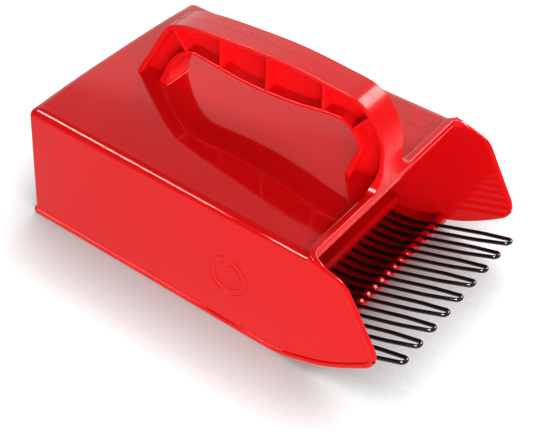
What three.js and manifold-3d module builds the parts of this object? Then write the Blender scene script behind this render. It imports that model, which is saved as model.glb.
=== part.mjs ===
// Berry picking rake: a moulded scoop with a carrying handle on top and a comb
// of wire loops at its mouth. Millimetres, +Z up, +X towards the comb, and the
// flat floor lies on Z = 0.
import * as THREE from 'three';
import { mergeVertices, toCreasedNormals } from 'three/addons/utils/BufferGeometryUtils.js';
import Module from 'manifold-3d';

const wasm = await Module();
wasm.setup();

// Box of the scoop. X = 0 is the back's top edge, and the width is centred on Y = 0.
const bodyWidth = 140;
const bodyHeight = 77.7;
const bodyLength = 185;
const backLean = 4.9;
const topCrown = 2.1;
const wall = 2;
const topEdgeRadius = 3.5;
const backEdgeRadius = 3.5;
const planRadius = 1.5;
const innerRadius = 5;

// Cheeks: the side walls run on past the mouth, as far as the comb's middle.
const cheekRootRun = 5.5;
const cheekRootDrop = 0.4;
const shoulderRun = 19.5;
const shoulderDrop = 3.6;
const shoulderRound = 6;
const cheekTipRun = 44.7;
const cheekTipHeight = 32.8;
const cheekTipRound = 11;
const cheekHeelRun = 5;
const cheekHollowRun = 17.2;
const cheekHollowRise = 11.8;

// Raised rim along the mouth's top edge, and the bead that edges cheeks and foot.
const rimRise = 2.5;
const rimWidth = 5;
const rimSlope = 0.8;
const rimFaceRun = 0.8;
const rimOverhang = 0.8;
const rimEndRadius = 6.5;
const rimCornerRadius = 2.5;
const rimTailRun = 2.6;
const rimTailDrop = 1;
const mouthCornerRadius = 6.5;
const beadWidth = 3.2;
const beadDepth = 2.5;
const beadStand = 0.6;
const beadCornerRadius = 1.5;

// Handle: an I-shaped section, with a flange outside, one on the finger side and
// a web between them. Both flange lines are given as shares of its span and rise.
const handleStart = 21;
const handleSetback = 0.6;
const handleRise = 52.5;
const handleWidth = 19.3;
const webThickness = 3;
const outerFlange = 2.8;
const gripFlange = 2;
const gripRearFlare = 4.2;
const gripFrontFlare = 1.2;
const ribThickness = 1.6;
const mouthFlareWidth = 9.5;
const mouthFlareHeight = 10;
const mouthFlareDepth = 3.6;
const gripFlareShare = 0.24;
const outerLineShares = [
  [0, 0], [0.06, 0.334], [0.118, 0.657], [0.15, 0.786], [0.2, 0.862], [0.283, 0.918], [0.441, 0.969],
  [0.605, 1], [0.779, 0.979], [0.882, 0.945], [0.928, 0.86], [0.966, 0.726], [0.992, 0.553],
  [0.998, 0.39], [0.999, 0.2], [1, 0],
];
const gripLineShares = [
  [0.098, 0], [0.125, 0.19], [0.156, 0.377], [0.199, 0.527], [0.241, 0.6], [0.283, 0.607], [0.38, 0.578],
  [0.485, 0.56], [0.64, 0.59], [0.788, 0.664], [0.836, 0.667], [0.886, 0.572], [0.914, 0.41],
  [0.898, 0.202], [0.882, 0],
];
const ribShares = [
  [0.175, 0.757, 0.216, 0.603], [0.364, 0.95, 0.364, 0.55], [0.547, 0.95, 0.547, 0.55],
  [0.758, 0.95, 0.764, 0.55], [0.928, 0.803, 0.894, 0.663],
];

// Round moulded mark on the near wall: plain raised rings with a bare middle.
const markSetback = 50;
const markZ = 35.4;
const markRadii = [12.4, 8.4];
const markRingWidth = 1.2;
const markStand = 0.6;

// Floor plate. Its front end turns up at the comb's angle and ends in a notched lip.
const floorThickness = 2.2;
const floorGap = 0.3;
const floorBendRadius = 60;
const floorReach = 5;
const lipRun = 4.5;
const lipRise = 2.5;
const notchClearance = 0.3;

// Comb: bent wire loops that lie on the floor, then rise out of the mouth.
const loopCount = 9;
const combMargin = 13.6;
const wireRadius = 1.15;
const seatGap = 0.2;
const combAngle = 20;
const combReach = 51;
const combTipZ = 27.5;
const legSpread = 6.8;
const noseSpread = 4.4;
const taperRun = 20;
const wireRootInset = 7.5;
const wireSides = 10;

// Clamp bar over the wire roots.
const clampSetback = 41;
const clampWidth = 14;
const clampHeight = 6.8;
const clampChamfer = 1.6;
const clampEndGap = 1.5;
const clampSlotInset = 6.5;

// Screws, all from below: six for the floor and five for the clamp bar.
const floorScrewStart = 9;
const floorScrewSetback = 10;
const floorScrewInset = 3.6;
const bossRadius = 3.9;
const bossHeight = 15;
const clampScrewInset = 3.3;
const clampScrewMargin = 12;
const clampScrewCount = 5;
const screwRadius = 1.5;
const screwHeadRadius = 3;
const screwHeadHeight = 1.6;
const floorScrewLength = 12;
const clampScrewLength = 7;
const holeClearance = 0.2;
const headRecess = 0.15;

// How finely curves are cut into facets.
const arcSteps = 6;
const lineSteps = 46;
const crownFacet = 20;
const beadSides = 12;
const ringSteps = 32;
const screwSides = 16;
const creaseAngle = 0.5;

const plasticRed = new THREE.Color(0.78, 0.035, 0.03);
const coatBlack = new THREE.Color(0.012, 0.012, 0.014);
const steelGrey = new THREE.Color(0.6, 0.6, 0.62);

const halfWidth = bodyWidth / 2;
const innerHalf = halfWidth - wall;
const ceiling = bodyHeight - wall;
const leanRate = backLean / bodyHeight;
const handleSpan = bodyLength - handleSetback - handleStart;
const combTipX = bodyLength + combReach;
const loopPitch = (2 * innerHalf - 2 * combMargin) / (loopCount - 1);
const clampStart = bodyLength - clampSetback;
const clampLength = 2 * (innerHalf - clampEndGap);
const combSlope = THREE.MathUtils.degToRad(combAngle);
const farX = combTipX + wall;
const frontX = combTipX;
const rearX = -backLean - beadStand;
const middleX = (frontX + rearX) / 2;

// Turns a three.js geometry into a solid for cutting and joining.
function toSolid(geometry) {
  geometry.deleteAttribute('normal');
  geometry.deleteAttribute('uv');
  const merged = mergeVertices(geometry);
  return new wasm.Manifold(new wasm.Mesh({
    numProp: 3,
    vertProperties: new Float32Array(merged.attributes.position.array),
    triVerts: new Uint32Array(merged.index.array),
  }));
}

function toGeometry(solid) {
  const mesh = solid.getMesh();
  const geometry = new THREE.BufferGeometry();
  geometry.setAttribute('position', new THREE.BufferAttribute(new Float32Array(mesh.vertProperties), 3));
  geometry.setIndex(new THREE.BufferAttribute(new Uint32Array(mesh.triVerts), 1));
  return toCreasedNormals(geometry, creaseAngle);
}

function extrude(shape, depth, segments = arcSteps) {
  return new THREE.ExtrudeGeometry(shape, { depth, bevelEnabled: false, curveSegments: segments });
}

// Side-view outline (x, z), extruded across the width from y = low to y = high.
function acrossWidth(shape, low, high, segments) {
  const geometry = extrude(shape, high - low, segments);
  geometry.rotateX(Math.PI / 2);
  geometry.translate(0, high, 0);
  return toSolid(geometry);
}

// Front-view outline (y, z), extruded along the length from x = low to x = high.
function alongLength(shape, low, high, segments) {
  const geometry = extrude(shape, high - low, segments);
  const turn = new THREE.Matrix4().makeBasis(
    new THREE.Vector3(0, 1, 0),
    new THREE.Vector3(0, 0, 1),
    new THREE.Vector3(1, 0, 0),
  );
  geometry.applyMatrix4(turn);
  geometry.translate(low, 0, 0);
  return toSolid(geometry);
}

// Plan outline (x, y), extruded upwards and sheared to follow the leaning back.
function leaningPlan(shape, low, high) {
  const geometry = extrude(shape, high - low);
  geometry.translate(0, 0, low);
  const shear = new THREE.Matrix4().set(1, 0, leanRate, 0, 0, 1, 0, 0, 0, 0, 1, 0, 0, 0, 0, 1);
  geometry.applyMatrix4(shear);
  return toSolid(geometry);
}

function polygon(points) {
  return new THREE.Shape(points.map(([u, v]) => new THREE.Vector2(u, v)));
}

function box(low, high) {
  const size = high.map((value, i) => value - low[i]);
  const geometry = new THREE.BoxGeometry(...size);
  geometry.translate(low[0] + size[0] / 2, low[1] + size[1] / 2, low[2] + size[2] / 2);
  return toSolid(geometry);
}

function joinAll(solids) {
  return solids.reduce((all, next) => all.add(next));
}

// Section of the scoop seen from the front, with rounded top edges.
function roundedSection(half, top, radius) {
  const shape = new THREE.Shape();
  shape.moveTo(-half, -bodyHeight);
  shape.lineTo(half, -bodyHeight);
  shape.absarc(half - radius, top - radius, radius, 0, Math.PI / 2, false);
  shape.absarc(radius - half, top - radius, radius, Math.PI / 2, Math.PI, false);
  shape.closePath();
  return shape;
}

// Raises the flat top of a solid, which lies at the height "top", into the shallow
// crown that fades out towards the mouth.
function crowned(solid, top) {
  const low = bodyHeight - topEdgeRadius;
  const edge = innerHalf - innerRadius;
  return solid.refineToLength(crownFacet).warp((vertex) => {
    const across = Math.min(Math.abs(vertex[1]) / edge, 1);
    const along = THREE.MathUtils.clamp(vertex[0] / bodyLength, 0, 1);
    const share = THREE.MathUtils.clamp((vertex[2] - low) / (top - low), 0, 1);
    vertex[2] += topCrown * (1 - across ** 2) * (1 - along ** 2) * share;
  }).asOriginal();
}

// Plan of the scoop from its rounded back corners to well past the comb.
function planOutline(half, back, radius) {
  const shape = new THREE.Shape();
  shape.moveTo(farX, -half);
  shape.lineTo(farX, half);
  shape.lineTo(back + radius, half);
  shape.absarc(back + radius, half - radius, radius, Math.PI / 2, Math.PI, false);
  shape.absarc(back + radius, radius - half, radius, Math.PI, 1.5 * Math.PI, false);
  shape.closePath();
  return shape;
}

// Underside of the comb's line: flat, then an arc, then straight at the comb's angle.
// The wires lie on the floor, so the floor's lines follow from the comb's tip.
const wireLift = floorThickness + seatGap + wireRadius;
const tipCentreX = combTipX - wireRadius * Math.cos(combSlope);
const slopeBase = combTipZ - wireLift / Math.cos(combSlope);
const slopeMeetX = tipCentreX - slopeBase / Math.tan(combSlope);
const bendStartX = slopeMeetX - floorBendRadius * Math.tan(combSlope / 2);

// A line parallel to the underside, "lift" above it.
function risenArc(path, lift, backwards) {
  const radius = floorBendRadius - lift;
  const low = -Math.PI / 2;
  const high = low + combSlope;
  if (backwards) {
    path.absarc(bendStartX, floorBendRadius, radius, high, low, true);
  } else {
    path.absarc(bendStartX, floorBendRadius, radius, low, high, false);
  }
}

function slopePoint(x, lift) {
  return [
    x - lift * Math.sin(combSlope),
    (x - slopeMeetX) * Math.tan(combSlope) + lift * Math.cos(combSlope),
  ];
}

// Points that the cheek's outline turns at.
const cheekRoot = [bodyLength + cheekRootRun, bodyHeight - cheekRootDrop];
const shoulder = [bodyLength + shoulderRun, bodyHeight - shoulderDrop];
const cheekTip = [bodyLength + cheekTipRun, cheekTipHeight];
const cheekHollow = [bodyLength + cheekHollowRun, cheekHollowRise];
const cheekHeel = slopePoint(bodyLength + cheekHeelRun, 0);

function towards(from, to, distance) {
  const length = Math.hypot(to[0] - from[0], to[1] - from[1]);
  return from.map((value, i) => value + (to[i] - value) * distance / length);
}

// The cheek's edge from its root at the mouth round its tip to the flat underside.
function cheekEdge(path) {
  path.lineTo(...cheekRoot);
  path.lineTo(...towards(shoulder, cheekRoot, shoulderRound));
  path.quadraticCurveTo(...shoulder, ...towards(shoulder, cheekTip, shoulderRound));
  path.lineTo(...towards(cheekTip, shoulder, cheekTipRound));
  path.quadraticCurveTo(...cheekTip, ...towards(cheekTip, cheekHollow, cheekTipRound));
  path.quadraticCurveTo(...cheekHollow, ...cheekHeel);
  risenArc(path, 0, true);
}

// Moves an open line of points sideways, to the left of its direction. The distance
// is a length, or a function of the share of the way along the line.
function offsetLine(points, distance) {
  const distanceAt = typeof distance === 'function' ? distance : () => distance;
  return points.map((point, i) => {
    const shift = distanceAt(i / (points.length - 1));
    const before = points[Math.max(i - 1, 0)];
    const after = points[Math.min(i + 1, points.length - 1)];
    const along = [after[0] - before[0], after[1] - before[1]];
    const length = Math.hypot(...along);
    return [point[0] - along[1] * shift / length, point[1] + along[0] * shift / length];
  });
}

// A line through given stations, swept with one ring of facets at each of them.
class StationLine extends THREE.Curve {
  constructor(stations) {
    super();
    this.stations = stations;
  }

  getUtoTmapping(u) {
    return u;
  }

  getPoint(t) {
    const place = t * (this.stations.length - 1);
    const index = Math.min(Math.floor(place), this.stations.length - 2);
    return this.stations[index].clone().lerp(this.stations[index + 1], place - index);
  }

  getTangent(t) {
    const last = this.stations.length - 1;
    const index = Math.round(t * last);
    const before = this.stations[Math.max(index - 1, 0)];
    const after = this.stations[Math.min(index + 1, last)];
    const here = this.stations[index];
    const inward = here.clone().sub(before).normalize();
    const outward = after.clone().sub(here).normalize();
    return inward.add(outward).normalize();
  }
}

// Sweeps an elliptic section along the stations: "across" is its half width at right
// angles to the first bend's plane, "within" its half width in that plane.
function sweep(stations, across, within, sides) {
  const section = polygon(Array.from({ length: sides }, (_, i) => [
    across * Math.cos(2 * Math.PI * i / sides),
    within * Math.sin(2 * Math.PI * i / sides),
  ]));
  const geometry = new THREE.ExtrudeGeometry(section, {
    steps: stations.length - 1,
    extrudePath: new StationLine(stations),
    bevelEnabled: false,
  });
  return toSolid(geometry);
}

// Middle line of the bead in side view: from the rim's end round the cheek's edge
// and back along the foot to the back corner.
function beadLine() {
  const path = new THREE.Path();
  path.moveTo(...cheekRoot);
  cheekEdge(path);
  const edge = path.getPoints(arcSteps).slice(1).map((point) => [point.x, point.y]);
  const rear = -backLean - beadStand + beadDepth / 2 + beadCornerRadius;
  return [
    [bodyLength - rimWidth / 2, bodyHeight],
    ...offsetLine(edge, -beadWidth / 2),
    [rear, beadWidth / 2],
  ];
}

// Side view of the scoop: leaning back, level top, and the bead's middle line.
function sideOutline() {
  const foot = [-backLean * (1 - beadWidth / 2 / bodyHeight), beadWidth / 2];
  const backTop = [0, bodyHeight];
  const shape = new THREE.Shape();
  shape.moveTo(...foot);
  shape.lineTo(...towards(backTop, foot, backEdgeRadius));
  shape.quadraticCurveTo(...backTop, backEdgeRadius, bodyHeight);
  shape.lineTo(bodyLength, bodyHeight);
  beadLine().slice(1).forEach((point) => shape.lineTo(...point));
  shape.closePath();
  return shape;
}

// Half-round bead, swept round one cheek, the foot, the back and the other cheek.
function beadSolid() {
  const side = halfWidth + beadStand - beadDepth / 2;
  const rear = -backLean - beadStand + beadDepth / 2;
  const half = beadLine().map(([x, z]) => new THREE.Vector3(x, -side, z));
  for (let i = 1; i <= arcSteps; i += 1) {
    const angle = Math.PI / 2 * i / arcSteps;
    half.push(new THREE.Vector3(
      rear + beadCornerRadius * (1 - Math.sin(angle)),
      beadCornerRadius * (1 - Math.cos(angle)) - side,
      beadWidth / 2,
    ));
  }
  const mirrored = [...half].reverse().map((point) => new THREE.Vector3(point.x, -point.y, point.z));
  return sweep([...half, ...mirrored], beadDepth / 2, beadWidth / 2, beadSides);
}

function cavitySolid() {
  const section = alongLength(roundedSection(innerHalf, ceiling, innerRadius), rearX, farX);
  const plan = leaningPlan(planOutline(innerHalf, wall - backLean, innerRadius), -bodyHeight, bodyHeight + wall);
  return crowned(section.intersect(plan), ceiling);
}

// Everything in front of the mouth's slanted top face, between the cheeks. In plan
// its rear corners are rounded, which leaves a fillet between the rim and each cheek.
function mouthSolid() {
  const high = bodyHeight + rimRise + rimRise;
  const faceRise = wall + rimRise;
  const rear = bodyLength - rimFaceRun;
  const face = acrossWidth(polygon([
    [bodyLength, ceiling - innerRadius],
    [farX, ceiling - innerRadius],
    [farX, high],
    [bodyLength - rimFaceRun * (high - ceiling) / faceRise, high],
    [bodyLength, ceiling],
  ]), -innerHalf, innerHalf);
  const plan = extrude(planOutline(innerHalf, rear, mouthCornerRadius), 2 * bodyHeight);
  return face.intersect(toSolid(plan));
}

// Plan of the rim: rounded ends at its rear, tapering into the cheeks at its front.
function rimPlan() {
  const side = halfWidth + rimOverhang;
  const middle = bodyLength - rimFaceRun - rimWidth + rimEndRadius;
  const shape = new THREE.Shape();
  shape.moveTo(cheekRoot[0], -halfWidth);
  shape.lineTo(cheekRoot[0], halfWidth);
  shape.absarc(middle, side - rimEndRadius, rimEndRadius, Math.PI / 2, Math.PI, false);
  shape.absarc(middle, rimEndRadius - side, rimEndRadius, Math.PI, 1.5 * Math.PI, false);
  shape.closePath();
  return shape;
}

// Raised rim: a ridge across the top that bends down into the cheeks at both ends.
function rimSolid() {
  const top = bodyHeight + rimRise;
  const side = halfWidth + rimOverhang;
  const rear = bodyLength - rimFaceRun - rimWidth;
  const ridge = acrossWidth(polygon([
    [rear, ceiling],
    [cheekRoot[0], ceiling],
    cheekRoot,
    [bodyLength + rimTailRun, top - rimTailDrop],
    [bodyLength - rimFaceRun, top],
    [rear + rimSlope, top],
    [rear, bodyHeight],
  ]), -side, side);
  const cover = roundedSection(side, top, rimCornerRadius);
  const plan = extrude(rimPlan(), 2 * bodyHeight);
  return ridge.intersect(alongLength(cover, rear, farX)).intersect(toSolid(plan));
}

// A flange line of the handle, through its shares of the handle's span and rise.
function handleLine(shares) {
  const knots = shares.map(([along, up]) => new THREE.Vector3(
    handleStart + along * handleSpan,
    0,
    bodyHeight + up * handleRise,
  ));
  const curve = new THREE.CatmullRomCurve3(knots, false, 'centripetal');
  return curve.getSpacedPoints(lineSteps).map((point) => [point.x, point.z]);
}

// Pocket between the two flanges on one side of the web, left standing at the ribs.
function pocketSolid(outline, low, high) {
  const ribs = ribShares.map(([startAlong, startUp, endAlong, endUp]) => {
    const start = [handleStart + startAlong * handleSpan, bodyHeight + startUp * handleRise];
    const end = [handleStart + endAlong * handleSpan, bodyHeight + endUp * handleRise];
    const over = handleWidth / 2;
    const top = towards(start, end, -over);
    const foot = towards(end, start, -over);
    const line = [top, foot];
    return acrossWidth(polygon([
      ...offsetLine(line, ribThickness / 2),
      ...offsetLine(line, -ribThickness / 2).reverse(),
    ]), low, high);
  });
  return acrossWidth(polygon(outline), low, high).subtract(joinAll(ribs));
}

// Wide foot of the outer flange, which sweeps into the rim on both sides.
function mouthFlare() {
  const half = handleWidth / 2;
  const low = ceiling;
  const rimTop = bodyHeight + rimRise;
  const shape = new THREE.Shape();
  shape.moveTo(-half - mouthFlareWidth, low);
  shape.lineTo(half + mouthFlareWidth, low);
  shape.lineTo(half + mouthFlareWidth, rimTop);
  shape.quadraticCurveTo(half, rimTop, half, rimTop + mouthFlareHeight);
  shape.lineTo(-half, rimTop + mouthFlareHeight);
  shape.quadraticCurveTo(-half, rimTop, -half - mouthFlareWidth, rimTop);
  shape.closePath();
  const front = handleStart + handleSpan;
  return alongLength(shape, front - mouthFlareDepth, front);
}

// Thickness of the finger-side flange, which grows towards both feet.
function gripThickness(along) {
  const rear = Math.max(1 - along / gripFlareShare, 0) ** 2;
  const front = Math.max(1 - (1 - along) / gripFlareShare, 0) ** 2;
  return gripFlange + gripRearFlare * rear + gripFrontFlare * front;
}

function handleSolid() {
  const half = handleWidth / 2;
  const over = handleWidth;
  const outer = handleLine(outerLineShares);
  const grip = handleLine(gripLineShares);
  const fingers = offsetLine(grip, (along) => -gripThickness(along));
  const pocket = [...offsetLine(outer, -outerFlange), ...[...grip].reverse()];
  const last = fingers.length - 1;
  const opening = [
    [fingers[0][0], bodyHeight / 2],
    ...fingers,
    [fingers[last][0], bodyHeight / 2],
  ];
  const solid = acrossWidth(polygon(outer), -half, half)
    .subtract(acrossWidth(polygon(opening), -over, over))
    .subtract(pocketSolid(pocket, webThickness / 2, over))
    .subtract(pocketSolid(pocket, -over, -webThickness / 2));
  return solid.add(mouthFlare());
}

function ring(radius, width, low, high) {
  const geometry = new THREE.LatheGeometry([
    new THREE.Vector2(radius - width / 2, low),
    new THREE.Vector2(radius + width / 2, low),
    new THREE.Vector2(radius + width / 4, high),
    new THREE.Vector2(radius - width / 4, high),
    new THREE.Vector2(radius - width / 2, low),
  ], ringSteps);
  return geometry;
}

// Rings of the moulded mark, sunk a little into the wall so that they join it.
function markSolids() {
  return markRadii.map((radius) => {
    const geometry = ring(radius, markRingWidth, -markStand, markStand);
    geometry.rotateX(Math.PI);
    geometry.translate(bodyLength - markSetback, -halfWidth, markZ);
    return toSolid(geometry);
  });
}

function cylinder(radius, low, high, x, y, sides = screwSides) {
  const geometry = new THREE.CylinderGeometry(radius, radius, high - low, sides);
  geometry.rotateX(Math.PI / 2);
  geometry.translate(x, y, (low + high) / 2);
  return toSolid(geometry);
}

const floorScrewY = innerHalf - floorScrewInset;
const floorScrewEnd = clampStart - floorScrewSetback;
const floorScrewXs = [floorScrewStart, (floorScrewStart + floorScrewEnd) / 2, floorScrewEnd];
const floorScrewSpots = floorScrewXs.flatMap((x) => [[x, -floorScrewY], [x, floorScrewY]]);
const clampScrewSpots = Array.from({ length: clampScrewCount }, (_, i) => [
  clampStart + clampScrewInset,
  (i / (clampScrewCount - 1) - 0.5) * 2 * (innerHalf - clampScrewMargin),
]);

// Bosses stand on the side walls and end just above the floor, which they carry.
function bossSolids() {
  const low = floorThickness + seatGap;
  return floorScrewSpots.flatMap(([x, y]) => {
    const side = Math.sign(y);
    const inward = y - side * bossRadius;
    const web = box(
      [x - bossRadius, Math.min(inward + side * bossRadius, side * (innerHalf + wall / 2)), low],
      [x + bossRadius, Math.max(inward + side * bossRadius, side * (innerHalf + wall / 2)), bossHeight],
    );
    return [cylinder(bossRadius, low, bossHeight, x, y), web];
  });
}

function shellSolid() {
  const cavity = cavitySolid();
  const bodySection = alongLength(roundedSection(halfWidth, bodyHeight, topEdgeRadius), rearX, farX);
  const bodyPlan = leaningPlan(planOutline(halfWidth, -backLean, planRadius), -bodyHeight, 2 * bodyHeight);
  const block = acrossWidth(sideOutline(), -halfWidth, halfWidth).intersect(bodySection).intersect(bodyPlan);
  const pilots = floorScrewSpots.map(([x, y]) => cylinder(
    screwRadius + holeClearance,
    -floorThickness,
    bossHeight - wall,
    x,
    y,
  ));
  return joinAll([crowned(block, bodyHeight), beadSolid(), rimSolid()])
    .subtract(cavity)
    .subtract(mouthSolid())
    .add(handleSolid().subtract(cavity))
    .add(joinAll(bossSolids()))
    .add(joinAll(markSolids()))
    .subtract(joinAll(pilots));
}

// Hole for a countersunk screw, opening downwards at Z = 0.
function screwHole(x, y) {
  const geometry = new THREE.LatheGeometry([
    new THREE.Vector2(0, -headRecess),
    new THREE.Vector2(screwHeadRadius + holeClearance + headRecess, -headRecess),
    new THREE.Vector2(screwRadius + holeClearance, screwHeadHeight + headRecess),
    new THREE.Vector2(screwRadius + holeClearance, 2 * floorThickness),
    new THREE.Vector2(0, 2 * floorThickness),
  ], screwSides);
  geometry.rotateX(Math.PI / 2);
  geometry.translate(x, y, 0);
  return toSolid(geometry);
}

const loopYs = Array.from({ length: loopCount }, (_, i) => (i - (loopCount - 1) / 2) * loopPitch);
const legYs = loopYs.flatMap((y) => [y - legSpread / 2, y + legSpread / 2]);

function floorSolid() {
  const rear = -backLean + wall + floorGap;
  const half = innerHalf - floorGap;
  const shape = new THREE.Shape();
  const lipTop = floorThickness + lipRise;
  const front = bodyLength + floorReach;
  shape.moveTo(rear, 0);
  shape.lineTo(bendStartX, 0);
  risenArc(shape, 0, false);
  shape.lineTo(...slopePoint(front, 0));
  shape.lineTo(...slopePoint(front, lipTop - floorThickness / 2));
  shape.lineTo(...slopePoint(front - floorThickness / 2, lipTop));
  shape.lineTo(...slopePoint(front - lipRun + floorThickness / 2, lipTop));
  shape.lineTo(...slopePoint(front - lipRun, floorThickness));
  risenArc(shape, floorThickness, true);
  shape.lineTo(rear, floorThickness);
  shape.closePath();
  const plan = extrude(planOutline(half, rear, innerRadius), 2 * bodyHeight);
  plan.translate(0, 0, -bodyHeight);
  const plate = acrossWidth(shape, -half, half).intersect(toSolid(plan));
  const notchHalf = wireRadius + notchClearance;
  const notchLow = floorThickness + seatGap / 2;
  const notches = legYs.map((y) => acrossWidth(polygon([
    slopePoint(front - 2 * lipRun, notchLow),
    slopePoint(front + lipRun, notchLow),
    slopePoint(front + lipRun, 2 * lipTop),
    slopePoint(front - 2 * lipRun, 2 * lipTop),
  ]), y - notchHalf, y + notchHalf));
  const holes = [...floorScrewSpots, ...clampScrewSpots].map(([x, y]) => screwHole(x, y));
  return plate.subtract(joinAll(notches)).subtract(joinAll(holes));
}

// One wire loop about y = 0: down one leg from its root, round the nose and back.
function loopGeometry() {
  const leg = legSpread / 2;
  const nose = noseSpread / 2;
  const bend = floorBendRadius - wireLift;
  const straightX = bendStartX + bend * Math.sin(combSlope);
  const straightZ = floorBendRadius - bend * Math.cos(combSlope);
  const length = (tipCentreX - straightX) / Math.cos(combSlope);
  const onSlope = (run, y) => new THREE.Vector3(
    straightX + run * Math.cos(combSlope),
    y,
    straightZ + run * Math.sin(combSlope),
  );
  const half = [new THREE.Vector3(clampStart + wireRootInset, leg, wireLift)];
  for (let i = 0; i <= arcSteps; i += 1) {
    const angle = combSlope * i / arcSteps;
    half.push(new THREE.Vector3(
      bendStartX + bend * Math.sin(angle),
      leg,
      floorBendRadius - bend * Math.cos(angle),
    ));
  }
  half.push(onSlope(length - taperRun, leg));
  for (let i = 0; i <= arcSteps / 2; i += 1) {
    const angle = Math.PI / 2 * i / (arcSteps / 2);
    half.push(onSlope(length - nose + nose * Math.sin(angle), nose * Math.cos(angle)));
  }
  const mirrored = half.slice(0, -1).reverse().map((point) => new THREE.Vector3(point.x, -point.y, point.z));
  const stations = [...half, ...mirrored];
  return toGeometry(sweep(stations, wireRadius, wireRadius, wireSides));
}

function clampSolid() {
  const low = floorThickness + seatGap;
  const high = low + clampHeight;
  const front = clampStart + clampWidth;
  const bar = acrossWidth(polygon([
    [clampStart, low],
    [front, low],
    [front, high - clampChamfer],
    [front - clampChamfer, high],
    [clampStart + clampChamfer, high],
    [clampStart, high - clampChamfer],
  ]), -clampLength / 2, clampLength / 2);
  const slotHalf = wireRadius + seatGap;
  const slotTop = wireLift + wireRadius + seatGap;
  const slots = legYs.map((y) => box(
    [clampStart + clampSlotInset, y - slotHalf, 0],
    [front + wall, y + slotHalf, slotTop],
  ));
  const pilots = clampScrewSpots.map(([x, y]) => cylinder(
    screwRadius + holeClearance,
    0,
    clampScrewLength + holeClearance,
    x,
    y,
  ));
  return bar.subtract(joinAll(slots)).subtract(joinAll(pilots));
}

// Countersunk screw, head down, with its axis on Z.
function screwGeometry(length) {
  const geometry = new THREE.LatheGeometry([
    new THREE.Vector2(0, headRecess),
    new THREE.Vector2(screwHeadRadius, headRecess),
    new THREE.Vector2(screwRadius, screwHeadHeight + headRecess),
    new THREE.Vector2(screwRadius, length - screwRadius),
    new THREE.Vector2(0, length),
  ], screwSides);
  geometry.rotateX(Math.PI / 2);
  return toGeometry(toSolid(geometry));
}

const redPlastic = new THREE.MeshStandardMaterial({ color: plasticRed, roughness: 0.25, metalness: 0 });
const blackCoat = new THREE.MeshStandardMaterial({ color: coatBlack, roughness: 0.3, metalness: 0 });
const steel = new THREE.MeshStandardMaterial({ color: steelGrey, roughness: 0.35, metalness: 1 });

const rake = new THREE.Group();
const placed = new THREE.Group();
placed.position.x = -middleX;
rake.add(placed);

function addPiece(name, geometry, material, x = 0, y = 0) {
  const mesh = new THREE.Mesh(geometry, material);
  mesh.name = name;
  mesh.position.set(x, y, 0);
  placed.add(mesh);
}

addPiece('scoop_shell', toGeometry(shellSolid()), redPlastic);
addPiece('floor_plate', toGeometry(floorSolid()), redPlastic);
addPiece('comb_clamp_bar', toGeometry(clampSolid()), redPlastic);
loopYs.forEach((y, i) => addPiece(`tine_loop_${i + 1}`, loopGeometry(), blackCoat, 0, y));
floorScrewSpots.forEach(([x, y], i) => addPiece(`floor_screw_${i + 1}`, screwGeometry(floorScrewLength), steel, x, y));
clampScrewSpots.forEach(([x, y], i) => addPiece(`clamp_screw_${i + 1}`, screwGeometry(clampScrewLength), steel, x, y));

export default rake;
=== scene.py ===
from math import cos, hypot, pi, radians, sin, tan

import bpy
from mathutils import Matrix, Vector


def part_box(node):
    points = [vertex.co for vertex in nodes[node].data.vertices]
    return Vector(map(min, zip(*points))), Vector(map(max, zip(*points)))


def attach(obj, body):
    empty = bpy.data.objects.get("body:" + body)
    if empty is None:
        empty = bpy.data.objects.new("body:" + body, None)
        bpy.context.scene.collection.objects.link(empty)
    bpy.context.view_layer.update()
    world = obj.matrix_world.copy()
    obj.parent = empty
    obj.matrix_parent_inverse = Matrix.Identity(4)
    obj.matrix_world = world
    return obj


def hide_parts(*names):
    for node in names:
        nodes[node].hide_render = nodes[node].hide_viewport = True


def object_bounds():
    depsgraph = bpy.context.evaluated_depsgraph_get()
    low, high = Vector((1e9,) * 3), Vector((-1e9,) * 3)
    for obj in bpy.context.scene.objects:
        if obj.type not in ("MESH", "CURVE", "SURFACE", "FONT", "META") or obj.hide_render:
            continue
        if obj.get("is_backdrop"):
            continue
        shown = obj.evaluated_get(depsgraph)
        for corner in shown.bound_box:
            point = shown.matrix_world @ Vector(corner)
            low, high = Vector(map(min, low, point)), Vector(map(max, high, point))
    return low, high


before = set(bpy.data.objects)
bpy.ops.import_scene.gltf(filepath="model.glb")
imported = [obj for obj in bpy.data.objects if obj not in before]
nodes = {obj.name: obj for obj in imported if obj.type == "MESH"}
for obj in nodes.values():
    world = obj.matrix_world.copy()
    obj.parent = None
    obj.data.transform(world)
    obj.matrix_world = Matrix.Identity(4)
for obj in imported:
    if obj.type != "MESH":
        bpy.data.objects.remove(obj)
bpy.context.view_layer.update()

# Scoop body: one thin-walled moulding in red plastic, open at the front and below.
# Its two cheeks run on past the mouth, the back leans a little, and the top is
# slightly crowned. It is drawn in side view, extruded across and then hollowed.
mm = 0.001
shell_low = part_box("scoop_shell")[0]
comb_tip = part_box("tine_loop_5")[1]

body_width = 140 * mm
body_height = 77.7 * mm
body_length = 187.5 * mm
back_lean = 3.9 * mm
top_crown = 2.1 * mm
wall = 2 * mm
top_radius = 5.6 * mm
corner_radius = 2.6 * mm
inner_radius = 5 * mm
bead_width = 3.2 * mm
bead_depth = 2.5 * mm
bead_stand = 1 * mm
shoulder_round = 6 * mm
tip_round = 11 * mm
back_inset = 3 * mm
slack = 0.1 * mm

half_width = body_width / 2
inner_half = half_width - wall
ceiling = body_height - wall
back_x = shell_low[0] + back_inset
mouth_x = back_x + body_length
front_x = comb_tip[0] + wall

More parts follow.
